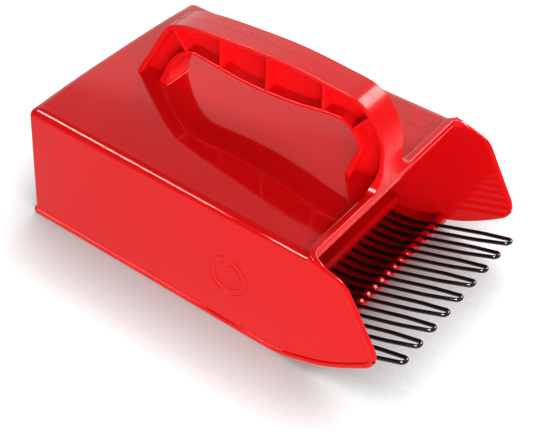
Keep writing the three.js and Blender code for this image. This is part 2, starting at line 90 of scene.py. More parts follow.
comb_angle = radians(20)
floor_bend = 60 * mm
floor_thickness = 2.2 * mm
wire_radius = 1.15 * mm
wire_lift = floor_thickness + 0.2 * mm + wire_radius
comb_tip_height = 27.5 * mm
tip_centre_x = comb_tip[0] - wire_radius * cos(comb_angle)
slope_meet_x = tip_centre_x - (comb_tip_height - wire_lift / cos(comb_angle)) / tan(comb_angle)
bend_start_x = slope_meet_x - floor_bend * tan(comb_angle / 2)

cheek_root = (mouth_x + 5.5 * mm, body_height - 0.4 * mm)
shoulder = (mouth_x + 19.5 * mm, body_height - 3.6 * mm)
cheek_tip = (mouth_x + 44.7 * mm, 32.8 * mm)
cheek_hollow = (mouth_x + 17.2 * mm, 11.8 * mm)
cheek_heel = (mouth_x + 5 * mm, (mouth_x + 5 * mm - slope_meet_x) * tan(comb_angle))


def towards(start, end, distance):
    """The point at a distance from the start on the way to the end."""
    share = distance / hypot(end[0] - start[0], end[1] - start[1])
    return tuple(a + (b - a) * share for a, b in zip(start, end))


def rounded(start, corner, end, steps=8):
    """Points of a soft corner between two tangent points."""
    shares = [i / steps for i in range(steps + 1)]
    return [
        tuple((1 - t) ** 2 * a + 2 * t * (1 - t) * b + t ** 2 * c for a, b, c in zip(start, corner, end))
        for t in shares
    ]


def offset_line(points, distance):
    """The line moved to the left of its direction, by a length or by a function of its share."""
    moved = []
    for i, (x, z) in enumerate(points):
        before = points[max(i - 1, 0)]
        after = points[min(i + 1, len(points) - 1)]
        run, rise = after[0] - before[0], after[1] - before[1]
        shift = distance(i / (len(points) - 1)) if callable(distance) else distance
        moved.append((x - rise * shift / hypot(run, rise), z + run * shift / hypot(run, rise)))
    return moved


shoulder_ends = [towards(shoulder, point, shoulder_round) for point in (cheek_root, cheek_tip)]
tip_ends = [towards(cheek_tip, point, tip_round) for point in (shoulder, cheek_hollow)]
foot_turns = [comb_angle * (1 - i / 8) for i in range(9)]
cheek_edge = [
    cheek_root,
    *rounded(shoulder_ends[0], shoulder, shoulder_ends[1]),
    *rounded(tip_ends[0], cheek_tip, tip_ends[1]),
    *rounded(tip_ends[1], cheek_hollow, cheek_heel)[1:],
    *[(bend_start_x + floor_bend * sin(turn), floor_bend * (1 - cos(turn))) for turn in foot_turns],
]
bead_line = offset_line(cheek_edge, -bead_width / 2)


def finish_edit():
    """Leaves edit mode and puts the piece's place into its mesh."""
    bpy.ops.mesh.select_all(action="SELECT")
    bpy.ops.mesh.normals_make_consistent(inside=False)
    bpy.ops.object.mode_set(mode="OBJECT")
    bpy.ops.object.transform_apply(location=True, rotation=True, scale=True)
    return bpy.context.object


def draw_outline(points):
    """Draws a filled outline: one vertex, extruded from point to point."""
    points = [Vector(point) for point in points]
    bpy.ops.object.select_all(action="DESELECT")
    bpy.ops.mesh.primitive_plane_add(size=mm, location=points[0])
    bpy.ops.object.mode_set(mode="EDIT")
    bpy.ops.mesh.select_mode(type="VERT")
    bpy.ops.mesh.select_all(action="SELECT")
    bpy.ops.mesh.merge(type="CENTER")
    for start, end in zip(points, points[1:]):
        bpy.ops.mesh.extrude_region_move(TRANSFORM_OT_translate={"value": end - start})
    bpy.ops.mesh.select_all(action="SELECT")
    bpy.ops.mesh.edge_face_add()


def across(outline, low, high):
    """Extrudes a side view outline of (x, z) points from y = low to y = high."""
    draw_outline([(x, low, z) for x, z in outline])
    bpy.ops.mesh.extrude_region_move(TRANSFORM_OT_translate={"value": (0, high - low, 0)})
    return finish_edit()


def pick(piece):
    """Makes a piece the active one and the only one that is selected."""
    bpy.ops.object.select_all(action="DESELECT")
    bpy.context.view_layer.objects.active = piece
    piece.select_set(True)


def select_edges(piece, chosen):
    """Selects, in edit mode, the edges whose two ends the test accepts."""
    pick(piece)
    bpy.ops.object.mode_set(mode="EDIT")
    bpy.ops.mesh.select_mode(type="EDGE")
    bpy.ops.mesh.select_all(action="DESELECT")
    bpy.ops.object.mode_set(mode="OBJECT")
    vertices = piece.data.vertices
    for edge in piece.data.edges:
        edge.select = chosen(*[vertices[i].co for i in edge.vertices])
    bpy.ops.object.mode_set(mode="EDIT")


def round_edges(piece, radius, segments, chosen):
    """Rounds the edges whose two ends the test accepts."""
    select_edges(piece, chosen)
    bpy.ops.mesh.bevel(offset=radius, segments=segments, affect="EDGES", clamp_overlap=False)
    bpy.ops.mesh.select_all(action="SELECT")
    bpy.ops.mesh.remove_doubles(threshold=0.001 * mm)
    bpy.ops.object.mode_set(mode="OBJECT")


def apply_modifiers(piece):
    """Makes what the modifiers do part of the mesh."""
    pick(piece)
    for modifier in list(piece.modifiers):
        bpy.ops.object.modifier_apply(modifier=modifier.name)


def combine(piece, others, operation):
    """Cuts the others from the piece or welds them on, and removes them."""
    for other in others:
        modifier = piece.modifiers.new(operation, "BOOLEAN")
        modifier.operation = operation
        modifier.solver = "EXACT"
        modifier.object = other
        apply_modifiers(piece)
        bpy.data.objects.remove(other)
    return piece


def raise_crown(piece, top):
    """Cuts rows into a flat-topped piece and lifts them into the crown, which fades out at the mouth."""
    pick(piece)
    bpy.ops.object.mode_set(mode="EDIT")
    edge = inner_half - inner_radius
    rows_per_side, rows_along = 6, 10
    rows = [((0, edge * (i / rows_per_side - 1), 0), (0, 1, 0)) for i in range(2 * rows_per_side + 1)]
    rows += [((back_x + body_length * (i + 1) / rows_along, 0, 0), (1, 0, 0)) for i in range(rows_along)]
    for place, direction in rows:
        bpy.ops.mesh.select_all(action="SELECT")
        bpy.ops.mesh.bisect(plane_co=place, plane_no=direction)
    bpy.ops.object.mode_set(mode="OBJECT")
    low = body_height - top_radius
    for vertex in piece.data.vertices:
        sideways = min(abs(vertex.co.y) / edge, 1)
        along = min(max((vertex.co.x - back_x) / body_length, 0), 1)
        share = min(max((vertex.co.z - low) / (top - low), 0), 1)
        vertex.co.z += top_crown * (1 - sideways ** 3) * (1 - along ** 2) * share


back_slope = back_lean / body_height
body_outline = [
    (back_x - back_lean + back_slope * bead_width / 2, bead_width / 2),
    (back_x, body_height),
    (mouth_x, body_height),
    *bead_line,
]
body = across(body_outline, -half_width, half_width)
near_top = body_height - slack
round_edges(body, top_radius, 10, lambda a, b: min(a.z, b.z) > near_top and (
    (abs(a.y - b.y) < mm and max(a.x, b.x) < mouth_x + mm) or max(a.x, b.x) < back_x + mm))


def on_rear_corner(a, b):
    """True for the edges that run up a rear corner and over the rounding at its top."""
    breadth, rise = abs(a.y - b.y), abs(a.z - b.z)
    flat_limit, upright_limit, lean_limit = 0.02 * mm, 20 * mm, 3 * mm
    at_rear = max(a.x, b.x) < back_x + top_radius + mm
    at_side = min(abs(a.y), abs(b.y)) > half_width - top_radius - mm
    follows_back = abs(abs(a.x - b.x) - rise * back_slope) < lean_limit
    return at_rear and at_side and follows_back and breadth < top_radius and (
        breadth > flat_limit or rise > upright_limit)


round_edges(body, corner_radius, 5, on_rear_corner)
raise_crown(body, body_height)

cavity_outline = [
    (back_x + wall - back_lean - back_slope * bead_width, -bead_width),
    (back_x + wall, ceiling),
    (front_x, ceiling),
    (front_x, -bead_width),
]
cavity = across(cavity_outline, -inner_half, inner_half)
round_edges(cavity, inner_radius, 8, lambda a, b: (
    min(a.z, b.z) > ceiling - slack and not (a.x > mouth_x and b.x > mouth_x)
    or (max(a.x, b.x) < mouth_x and abs(a.y - b.y) < mm)))
raise_crown(cavity, ceiling)
mouth_gap = across([
    (mouth_x, ceiling - inner_radius),
    (front_x, ceiling - inner_radius),
    (front_x, body_height + top_radius),
    (mouth_x, body_height + top_radius),
], -inner_half, inner_half)
combine(body, [cavity, mouth_gap], "DIFFERENCE")
body.name = "scoop_body"

# Rim, bead and rings of the same moulding: a raised rim runs across the mouth's top edge, turns
# forward over each cheek and thins out into the half-round bead that edges cheeks and foot. Two
# plain rings stand on the near wall, and a third, very faint one on the top's far front corner.
rim_rise = 2.5 * mm
rim_width = 5 * mm
rim_face_run = 0.8 * mm
rim_end_radius = 6.5 * mm
rim_rear_run = 0.8 * mm
rim_side = half_width - 0.6 * mm


def sweep(name, points, section, scales=None):
    """Sweeps a closed section of (sideways, upward) points along a line, as one closed mesh."""
    bpy.ops.object.select_all(action="DESELECT")
    profile = bpy.data.curves.new(f"{name}_section", "CURVE")
    profile.dimensions = "2D"
    ring = profile.splines.new("POLY")
    ring.points.add(len(section) - 1)
    for point, (u, v) in zip(ring.points, section):
        point.co = (u, v, 0, 1)
    ring.use_cyclic_u = True
    profile_object = bpy.data.objects.new(f"{name}_section", profile)
    bpy.context.scene.collection.objects.link(profile_object)
    path = bpy.data.curves.new(name, "CURVE")
    path.dimensions = "3D"
    path.twist_mode = "Z_UP"
    path.bevel_mode = "OBJECT"
    path.bevel_object = profile_object
    path.use_fill_caps = True
    line = path.splines.new("POLY")
    line.points.add(len(points) - 1)
    for i, (point, place) in enumerate(zip(line.points, points)):
        point.co = (*place, 1)
        point.radius = scales[i] if scales else 1
    piece = bpy.data.objects.new(name, path)
    bpy.context.scene.collection.objects.link(piece)
    bpy.context.view_layer.objects.active = piece
    piece.select_set(True)
    bpy.ops.object.convert(target="MESH")
    piece = bpy.context.object
    bpy.ops.object.mode_set(mode="EDIT")
    bpy.ops.mesh.select_all(action="SELECT")
    bpy.ops.mesh.remove_doubles(threshold=0.001 * mm)
    bpy.ops.object.mode_set(mode="OBJECT")
    bpy.data.objects.remove(profile_object)
    return piece


def ellipse(across_half, up_half, sides, fullness=1):
    """Points of an ellipse, or of a fuller, boxier oval when the last value is below one."""
    turns = [2 * pi * i / sides for i in range(sides)]
    return [
        tuple(half * abs(share) ** fullness * (1 if share > 0 else -1)
              for half, share in ((across_half, cos(turn)), (up_half, sin(turn))))
        for turn in turns
    ]


bead_side = half_width + bead_stand - bead_depth / 2
bead_rear = back_x - back_lean - bead_stand + bead_depth / 2
bead_turn = 2 * mm
bead_fullness = 0.7
quarter_turns = [pi / 2 * i / 6 for i in range(7)]
near_bead = [(mouth_x - rim_width / 2, -bead_side, body_height)]
near_bead += [(x, -bead_side, z) for x, z in bead_line[1:]]
near_bead += [
    (bead_rear + bead_turn * (1 - sin(turn)), bead_turn * (1 - cos(turn)) - bead_side, bead_width / 2)
    for turn in quarter_turns
]
far_bead = [(x, -y, z) for x, y, z in reversed(near_bead)]
bead = sweep("bead", near_bead + far_bead, ellipse(bead_depth / 2, bead_width / 2, 28, bead_fullness))

rim_middle = mouth_x - rim_face_run - rim_width / 2
rim_top = body_height + rim_rise
rim_half_height = (rim_top - ceiling) / 2
end_scale = 0.6
end_drop = 1.7 * mm
end_rise = 0.4 * mm
thinning_shares = (0.93, 0.75)
near_rim = []
for i in range(11):
    share = i / 10
    scale = 1 - (1 - end_scale) * share
    near_rim.append((
        rim_middle + rim_end_radius * (1 - cos(pi / 2 * share)),
        rim_end_radius * (1 - sin(pi / 2 * share)) - rim_side,
        rim_top - end_drop * share ** 2 - rim_half_height * scale,
        scale,
    ))
bead_start, bead_next = bead_line[0], towards(bead_line[0], bead_line[1], shoulder_round)
near_rim += [
    (bead_start[0], -bead_side, bead_start[1] + end_rise, end_scale * thinning_shares[0]),
    (bead_next[0], -bead_side, bead_next[1], end_scale * thinning_shares[1]),
]
far_rim = [(x, -y, z, scale) for x, y, z, scale in reversed(near_rim)]
rim_line = far_rim + near_rim
soft = 0.9 * mm
rear_foot = (rim_width / 2, -rim_half_height)
front_foot = (-rim_width / 2 - rim_face_run, -rim_half_height)
front_top = (-rim_width / 2, rim_half_height)
rear_top = (rim_width / 2 - rim_rear_run, rim_half_height)
rear_base = (rim_width / 2, rim_half_height - rim_rise)
foot_ends = [towards(front_foot, point, soft / 2) for point in (rear_foot, front_top)]
rim_section = [
    rear_foot,
    *rounded(foot_ends[0], front_foot, foot_ends[1], 3),
    *rounded(towards(front_top, front_foot, soft), front_top, towards(front_top, rear_top, soft), 5),
    *rounded(towards(rear_top, front_top, soft), rear_top, towards(rear_top, rear_base, soft), 5),
    rear_base,
]
rim = sweep(
    "rim",
    [(x, y, z) for x, y, z, scale in rim_line],
    rim_section,
    [scale for x, y, z, scale in rim_line],
)

ring_tube = 0.6 * mm
wall_stand = 0.4 * mm
top_stand = 0.06 * mm
wall_mark = (mouth_x - 50 * mm, -half_width, 35.4 * mm)
wall_out = Vector((0, -1, 0))
top_mark = (mouth_x - 16.5 * mm, 57 * mm, body_height + 0.17 * mm)
top_out = Vector((0.006, 0.02, 1)).normalized()
rings = []
for centre, outward, radius, stand in (
    (wall_mark, wall_out, 12.4 * mm, wall_stand),
    (wall_mark, wall_out, 8.4 * mm, wall_stand),
    (top_mark, top_out, 6 * mm, top_stand),
):
    bpy.ops.object.select_all(action="DESELECT")
    bpy.ops.mesh.primitive_torus_add(
        location=centre,
        rotation=outward.to_track_quat("Z", "Y").to_euler(),
        major_radius=radius,
        minor_radius=ring_tube,
        major_segments=96,
        minor_segments=12,
    )
    bpy.ops.object.mode_set(mode="EDIT")
    bpy.ops.mesh.select_all(action="SELECT")
    bpy.ops.mesh.bisect(
        plane_co=Vector(centre) + outward * stand, plane_no=outward, clear_outer=True, use_fill=True)
    rings.append(finish_edit())

# Handle, part of the same red moulding: an I-section with an outer flange, a flange on the finger
# side and a web between them, stiffened by five ribs on each side. Its front leg flares out into
# the rim, and a parting line and two gate scars are left from the mould.
handle_start = back_x + 23.5 * mm
handle_front = mouth_x - rim_face_run + 0.05 * mm
handle_shift = 0.45 * mm
handle_span = handle_front - handle_start
handle_rise = 52.5 * mm
handle_half = 9.2 * mm
web_half = 1.5 * mm
outer_flange = 2.8 * mm
grip_flange = 2 * mm
rib_half = 0.8 * mm
rear_swell = 4.2 * mm
front_swell = 1.2 * mm
swell_share = 0.24
foot_tuck = 0.2 * mm
overrun = 2 * mm
edge_round = 0.7 * mm
outer_shares = [
    (0, 0), (0.06, 0.334), (0.118, 0.657), (0.15, 0.786), (0.2, 0.862), (0.283, 0.918), (0.441, 0.969),
    (0.605, 1), (0.779, 0.979), (0.882, 0.945), (0.928, 0.86), (0.966, 0.726), (0.992, 0.553),
    (0.999, 0.4), (1, 0.28), (1, 0.14), (1, 0),
]
grip_shares = [
    (0.098, 0), (0.125, 0.19), (0.156, 0.377), (0.199, 0.527), (0.241, 0.6), (0.283, 0.607), (0.38, 0.578),
    (0.485, 0.56), (0.64, 0.59), (0.788, 0.664), (0.836, 0.667), (0.886, 0.572), (0.914, 0.41),
    (0.898, 0.202), (0.882, 0),
]
rib_shares = [
    ((0.175, 0.757), (0.216, 0.603)), ((0.364, 0.95), (0.364, 0.55)), ((0.547, 0.95), (0.547, 0.55)),
    ((0.758, 0.95), (0.764, 0.55)), ((0.928, 0.803), (0.894, 0.663)),
]


def on_handle(share):
    """The (x, z) point at a pair of shares of the handle's span and rise."""
    return (handle_start + share[0] * handle_span, body_height + share[1] * handle_rise)


def smooth_line(knots, count):
    """A smooth line through the knots, as evenly spaced points."""
    knots = [Vector(knot) for knot in knots]
    knots = [2 * knots[0] - knots[1], *knots, 2 * knots[-1] - knots[-2]]
    fine = []
    for a, b, c, d in zip(knots, knots[1:], knots[2:], knots[3:]):
        ta = 0
        tb = ta + (b - a).length ** 0.5
        tc = tb + (c - b).length ** 0.5
        td = tc + (d - c).length ** 0.5
        for i in range(16):
            t = tb + (tc - tb) * i / 16
            ab = a + (b - a) * (t - ta) / (tb - ta)
            bc = b + (c - b) * (t - tb) / (tc - tb)
            cd = c + (d - c) * (t - tc) / (td - tc)
            abc = ab + (bc - ab) * (t - ta) / (tc - ta)
            bcd = bc + (cd - bc) * (t - tb) / (td - tb)
            fine.append(abc + (bcd - abc) * (t - tb) / (tc - tb))
    fine.append(knots[-2])
    lengths = [0]
    for a, b in zip(fine, fine[1:]):
        lengths.append(lengths[-1] + (b - a).length)
    spaced = []
    place = 0
    for i in range(count):
        target = lengths[-1] * i / (count - 1)
        while place < len(fine) - 2 and lengths[place + 1] < target:
            place += 1
        share = (target - lengths[place]) / (lengths[place + 1] - lengths[place])
        spaced.append(tuple(fine[place].lerp(fine[place + 1], min(max(share, 0), 1))))
    return spaced


def grip_thickness(along):
    """The finger-side flange's thickness, which swells towards both feet."""
    rear = max(1 - along / swell_share, 0) ** 2
    front = max(1 - (1 - along) / swell_share, 0) ** 2
    return grip_flange + rear_swell * rear + front_swell * front


def along_x(outline, low, high):
    """Extrudes a front view outline of (y, z) points from x = low to x = high."""
    draw_outline([(low, y, z) for y, z in outline])
    bpy.ops.mesh.extrude_region_move(TRANSFORM_OT_translate={"value": (high - low, 0, 0)})
    return finish_edit()


outer_line = smooth_line([on_handle(share) for share in outer_shares], 150)
grip_line = smooth_line([on_handle(share) for share in grip_shares], 120)
finger_line = offset_line(grip_line, lambda along: -grip_thickness(along))
finger_line = [point for point in finger_line if point[1] > body_height]
rear_leg_end, front_leg_end = [(finger_line[i][0] - foot_tuck, body_height) for i in (0, -1)]
handle_outline = [*outer_line, front_leg_end, *reversed(finger_line), rear_leg_end]
handle = across(handle_outline, -handle_half, handle_half)
pocket_line = [*offset_line(outer_line, -outer_flange), *reversed(grip_line)]
for low, high in ((web_half, handle_half + overrun), (-handle_half - overrun, -web_half)):
    pocket = across(pocket_line, low, high)
    for start, end in rib_shares:
        start, end = on_handle(start), on_handle(end)
        rib_line = [towards(start, end, -handle_half), towards(end, start, -handle_half)]
        rib_outline = [*offset_line(rib_line, rib_half), *reversed(offset_line(rib_line, -rib_half))]
        rib = across(rib_outline, low - overrun, high + overrun)
        combine(pocket, [rib], "DIFFERENCE")
    combine(handle, [pocket], "DIFFERENCE")


def select_all_of(piece):
    """Opens a piece in edit mode with all its edges selected."""
    pick(piece)
    bpy.ops.object.mode_set(mode="EDIT")
    bpy.ops.mesh.select_mode(type="EDGE")
    bpy.ops.mesh.select_all(action="SELECT")


# Only the long edges at the handle's two sides are rounded, above the top of the scoop.
select_all_of(handle)
bpy.ops.mesh.remove_doubles(threshold=0.01 * mm)
bpy.ops.mesh.select_all(action="DESELECT")
bpy.ops.mesh.edges_select_sharp(sharpness=radians(35))
bpy.ops.object.mode_set(mode="OBJECT")
for edge in handle.data.edges:
    ends = [handle.data.vertices[i].co for i in edge.vertices]
    at_side = min(abs(end.y) for end in ends) > handle_half - slack
    if not at_side or max(end.z for end in ends) < body_height + slack:
        edge.select = False
for face in handle.data.polygons:
    face.select = False
bpy.ops.object.mode_set(mode="EDIT")
bpy.ops.mesh.bevel(offset=edge_round, segments=3, affect="EDGES", clamp_overlap=False, miter_outer="ARC")
bpy.ops.object.mode_set(mode="OBJECT")
handle.name = "handle"

# The flare is a plate at the front of the leg, wider on the far side. Its rear thins out upwards.
flare_depth = 4.9 * mm
flare_front = handle_front - 0.03 * mm
flare_foot = rim_top - 0.95 * mm
flare_slope = 12 * mm
flare_tuck = 0.2 * mm
flare_root = ceiling + 0.6 * mm
far_reach, near_reach = 18 * mm, 12 * mm
flare_outline = []
for side, reach in ((1, far_reach), (-1, near_reach)):
    outer_end = (handle_half + reach, flare_foot)
    upper_end = (handle_half - flare_tuck, rim_top + reach)
    half_flare = [(outer_end[0], flare_root)]
    half_flare += rounded(outer_end, (upper_end[0], flare_foot), upper_end, 16)
    flare_outline += [(side * y, z) for y, z in half_flare][::side]
flare = along_x(flare_outline, handle_front - flare_depth, flare_front)
select_all_of(flare)
for level in (rim_top, rim_top + flare_slope):
    bpy.ops.mesh.select_all(action="SELECT")
    bpy.ops.mesh.bisect(plane_co=(0, 0, level), plane_no=(0, 0, 1))
bpy.ops.object.mode_set(mode="OBJECT")
for vertex in flare.data.vertices:
    if vertex.co.x < flare_front - mm:
        up = min(max((vertex.co.z - rim_top) / flare_slope, 0), 1)
        vertex.co.x += (flare_depth - outer_flange + flare_tuck) * up
upper_step = 3 * mm
round_edges(flare, edge_round, 3, lambda a, b: (
    min(a.x, b.x) > flare_front - slack and min(a.z, b.z) > rim_top - mm and abs(a.y - b.y) < upper_step))
flare.name = "flare"

# Below the rim's top, the front of handle and flare follows the slope of the rim's face.
for piece in (handle, flare):
    for vertex in piece.data.vertices:
        if vertex.co.z < rim_top and vertex.co.x > handle_front - mm:
            vertex.co.x += rim_face_run * (rim_top - vertex.co.z) / (2 * rim_half_height)

# A small fillet leads from the top of the scoop up into the rear foot, inside the finger opening.
fillet = 1.2 * mm
fillet_sink = 0.05 * mm
plate_z = body_height + top_crown * (1 - ((finger_line[0][0] - back_x) / body_length) ** 2)
rear_stretch = finger_line[: len(finger_line) // 2]
foot_x = min(rear_stretch, key=lambda point: abs(point[1] - plate_z))[0]
foot_up = next(point for point in finger_line if point[1] > plate_z + fillet)
foot_flat = (foot_x + fillet, plate_z - fillet_sink)
foot_outline = [
    (foot_x - fillet / 2, plate_z - fillet),
    (foot_flat[0], plate_z - fillet),
    *rounded(foot_flat, (foot_x, plate_z), foot_up, 6),
]
foot_strip = across(foot_outline, -handle_half, handle_half)
foot_strip.name = "foot_strip"

# The parting line runs along the middle of the outer flange, with the gate scars beside it.
parting_half, parting_stand, parting_lift = 0.22 * mm, 0.1 * mm, 0.02 * mm
parting_line = offset_line(outer_line[1:-1], parting_lift)
parting_section = ellipse(parting_half, parting_stand, 8)
parting = sweep("parting_line", [(x, 0, z) for x, z in parting_line], parting_section)
gate_radius, gate_depth, gate_side, gate_round = 0.7 * mm, 0.5 * mm, 2.5 * mm, 0.15 * mm
gate_shares = (0.424, 0.44)
gates = []
for share in gate_shares:
    x, z = outer_line[int(share * len(outer_line))]
    bpy.ops.object.select_all(action="DESELECT")
    bpy.ops.mesh.primitive_cylinder_add(
        radius=gate_radius, depth=gate_depth, location=(x, gate_side, z), vertices=24)
    bpy.ops.object.mode_set(mode="EDIT")
    bpy.ops.mesh.bevel(offset=gate_round, segments=2, affect="EDGES")
    gates.append(finish_edit())

bpy.ops.object.select_all(action="DESELECT")
for piece in (handle, flare, foot_strip, parting, *gates):
    piece.select_set(True)
bpy.context.view_layer.objects.active = handle
bpy.ops.transform.translate(value=(0, handle_shift, 0))
bpy.ops.object.transform_apply(location=True)

# Screw bosses of the same moulding: six round posts stand inside the side walls, each with a
# pilot hole and a web to its wall, and the floor's screws are turned into them from below.
boss_radius = 3.9 * mm
boss_top = 15 * mm
boss_low = floor_thickness + 0.2 * mm
boss_middle = (boss_top + boss_low) / 2
boss_round = 0.5 * mm
pilot_radius = 1.7 * mm


def copy_of(piece, name):
    """A copy of a piece, with a name of its own."""
    pick(piece)
    bpy.ops.object.duplicate()
    copy = bpy.context.object
    copy.name = name
    return copy


def model_boss(x, y):
    """A boss with its pilot hole, and its web to the side wall that is nearest."""
    bpy.ops.object.select_all(action="DESELECT")
    bpy.ops.mesh.primitive_cylinder_add(
        radius=boss_radius, depth=boss_top - boss_low, location=(x, y, boss_middle), vertices=48)
    bpy.ops.object.mode_set(mode="EDIT")
    boss = finish_edit()
    round_edges(boss, boss_round, 3, lambda a, b: min(a.z, b.z) > boss_top - slack)
    bpy.ops.object.select_all(action="DESELECT")
    bpy.ops.mesh.primitive_cylinder_add(
        radius=pilot_radius, depth=2 * (boss_top - wall), location=(x, y, 0), vertices=32)
    bpy.ops.object.mode_set(mode="EDIT")
    pilot = finish_edit()
    side = 1 if y > 0 else -1
    bpy.ops.object.select_all(action="DESELECT")
    bpy.ops.mesh.primitive_cube_add(
        size=1,
        location=(x, side * (inner_half + wall / 2 + abs(y)) / 2, boss_middle),
        scale=(2 * boss_radius, inner_half + wall / 2 - abs(y), boss_top - boss_low),
    )
    bpy.ops.object.mode_set(mode="EDIT")
    web = finish_edit()
    round_edges(web, boss_round, 3, lambda a, b: min(a.z, b.z) > boss_top - slack and abs(a.x - b.x) < mm)
    combine(boss, [web], "UNION")
    return combine(boss, [pilot], "DIFFERENCE")


boss_places = []
for name in nodes:
    if name.startswith("floor_screw"):
        low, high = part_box(name)
        boss_places.append(((low[0] + high[0]) / 2, (low[1] + high[1]) / 2))
first_x, first_y = boss_places[0]
bosses = [model_boss(first_x, first_y)]
for x, y in boss_places[1:]:
    boss = copy_of(bosses[0], "boss")
    if y * first_y < 0:
        bpy.ops.transform.rotate(value=pi, orient_axis="Z", center_override=(first_x, first_y, 0))
    bpy.ops.transform.translate(value=(x - first_x, y - first_y, 0))
    bpy.ops.object.transform_apply(location=True, rotation=True, scale=True)
    bosses.append(boss)

bpy.ops.object.select_all(action="DESELECT")
for piece in (body, bead, rim, handle, flare, foot_strip, parting, *rings, *gates, *bosses):
    piece.select_set(True)
bpy.context.view_layer.objects.active = body
bpy.ops.object.join()
shell = body
shell.name = "moulded_shell"
bpy.ops.object.shade_smooth_by_angle(angle=radians(32))
even = shell.modifiers.new("even_normals", "WEIGHTED_NORMAL")
even.keep_sharp = True
even.weight = 100
apply_modifiers(shell)
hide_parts("scoop_shell")
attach(shell, "root")


def new_group(name, inputs, outputs):
    """An empty shader node group with named value inputs (with defaults) and outputs."""
    group = bpy.data.node_groups.new(name, "ShaderNodeTree")
    for label, default in inputs.items():
        socket = group.interface.new_socket(label, in_out="INPUT", socket_type="NodeSocketFloat")
        socket.default_value = default
    for label, kind in outputs.items():
        group.interface.new_socket(label, in_out="OUTPUT", socket_type=kind)
    return group, group.nodes.new("NodeGroupInput"), group.nodes.new("NodeGroupOutput")


def add_node(tree, kind, links=None, **settings):
    """A node with its settings, and its inputs linked or set by name or number."""
    node = tree.nodes.new(kind)
    for key, value in settings.items():
        setattr(node, key, value)
    for key, value in (links or {}).items():
        if isinstance(value, bpy.types.NodeSocket):
            tree.links.new(value, node.inputs[key])
        else:
            node.inputs[key].default_value = value
    return node


# Wear of all surfaces: soft smudges, and fine scuffs that gather in patches.
wear, wear_in, wear_out = new_group(
    "surface_wear",
    {"smudge size": 40, "smudge amount": 0.5, "scuff size": 900, "scuff amount": 0.5},
    {"smudges": "NodeSocketFloat", "scuffs": "NodeSocketFloat"},
)
place = add_node(wear, "ShaderNodeTexCoord")
cloud = add_node(wear, "ShaderNodeTexNoise", {
    "Vector": place.outputs["Object"],
    "Scale": wear_in.outputs["smudge size"],
    "Detail": 4,
    "Roughness": 0.6})
cloud_mask = add_node(wear, "ShaderNodeMapRange", {
    "Value": cloud.outputs[0], "From Min": 0.42, "From Max": 0.72})
smudge = add_node(wear, "ShaderNodeMath", {
    0: cloud_mask.outputs[0], 1: wear_in.outputs["smudge amount"]}, operation="MULTIPLY")
stretched = add_node(wear, "ShaderNodeMapping", {
    "Vector": place.outputs["Object"], "Rotation": (0.3, 0.2, 0.6), "Scale": (1, 0.06, 0.4)})
streaks = add_node(wear, "ShaderNodeTexNoise", {
    "Vector": stretched.outputs[0], "Scale": wear_in.outputs["scuff size"], "Detail": 2, "Roughness": 0.5})
streak_mask = add_node(wear, "ShaderNodeMapRange", {
    "Value": streaks.outputs[0], "From Min": 0.66, "From Max": 0.76})
patches = add_node(wear, "ShaderNodeTexNoise", {
    "Vector": place.outputs["Object"], "Scale": 25, "Detail": 2})
patch_mask = add_node(wear, "ShaderNodeMapRange", {
    "Value": patches.outputs[0], "From Min": 0.5, "From Max": 0.68})
scuff = add_node(wear, "ShaderNodeMath", {
    0: streak_mask.outputs[0], 1: patch_mask.outputs[0]}, operation="MULTIPLY")
scuff_amount = add_node(wear, "ShaderNodeMath", {
    0: scuff.outputs[0], 1: wear_in.outputs["scuff amount"]}, operation="MULTIPLY")
wear.links.new(smudge.outputs[0], wear_out.inputs["smudges"])
wear.links.new(scuff_amount.outputs[0], wear_out.inputs["scuffs"])

# The skin of a moulding or a coat: long shallow waves under a fine grain.
waves, waves_in, waves_out = new_group(
    "mould_surface",
    {"wave size": 30, "grain size": 1500, "grain share": 0.1},
    {"height": "NodeSocketFloat"},
)
place = add_node(waves, "ShaderNodeTexCoord")
swell = add_node(waves, "ShaderNodeTexNoise", {
    "Vector": place.outputs["Object"], "Scale": waves_in.outputs["wave size"], "Detail": 1})
grain = add_node(waves, "ShaderNodeTexNoise", {
    "Vector": place.outputs["Object"], "Scale": waves_in.outputs["grain size"], "Detail": 2})
both = add_node(waves, "ShaderNodeMath", {
    0: grain.outputs[0], 1: waves_in.outputs["grain share"], 2: swell.outputs[0]}, operation="MULTIPLY_ADD")
waves.links.new(both.outputs[0], waves_out.inputs["height"])


smudge_roughness = 0.1
scuff_roughness = 0.3
satin_roughness = 0.12
satin_and_light_run = 2.5 * mm
# Painted light: the handle above the scoop's top gets this paler red, as it stands in stronger light.
painted_lit_red = (0.65, 0.005, 0.007, 1)


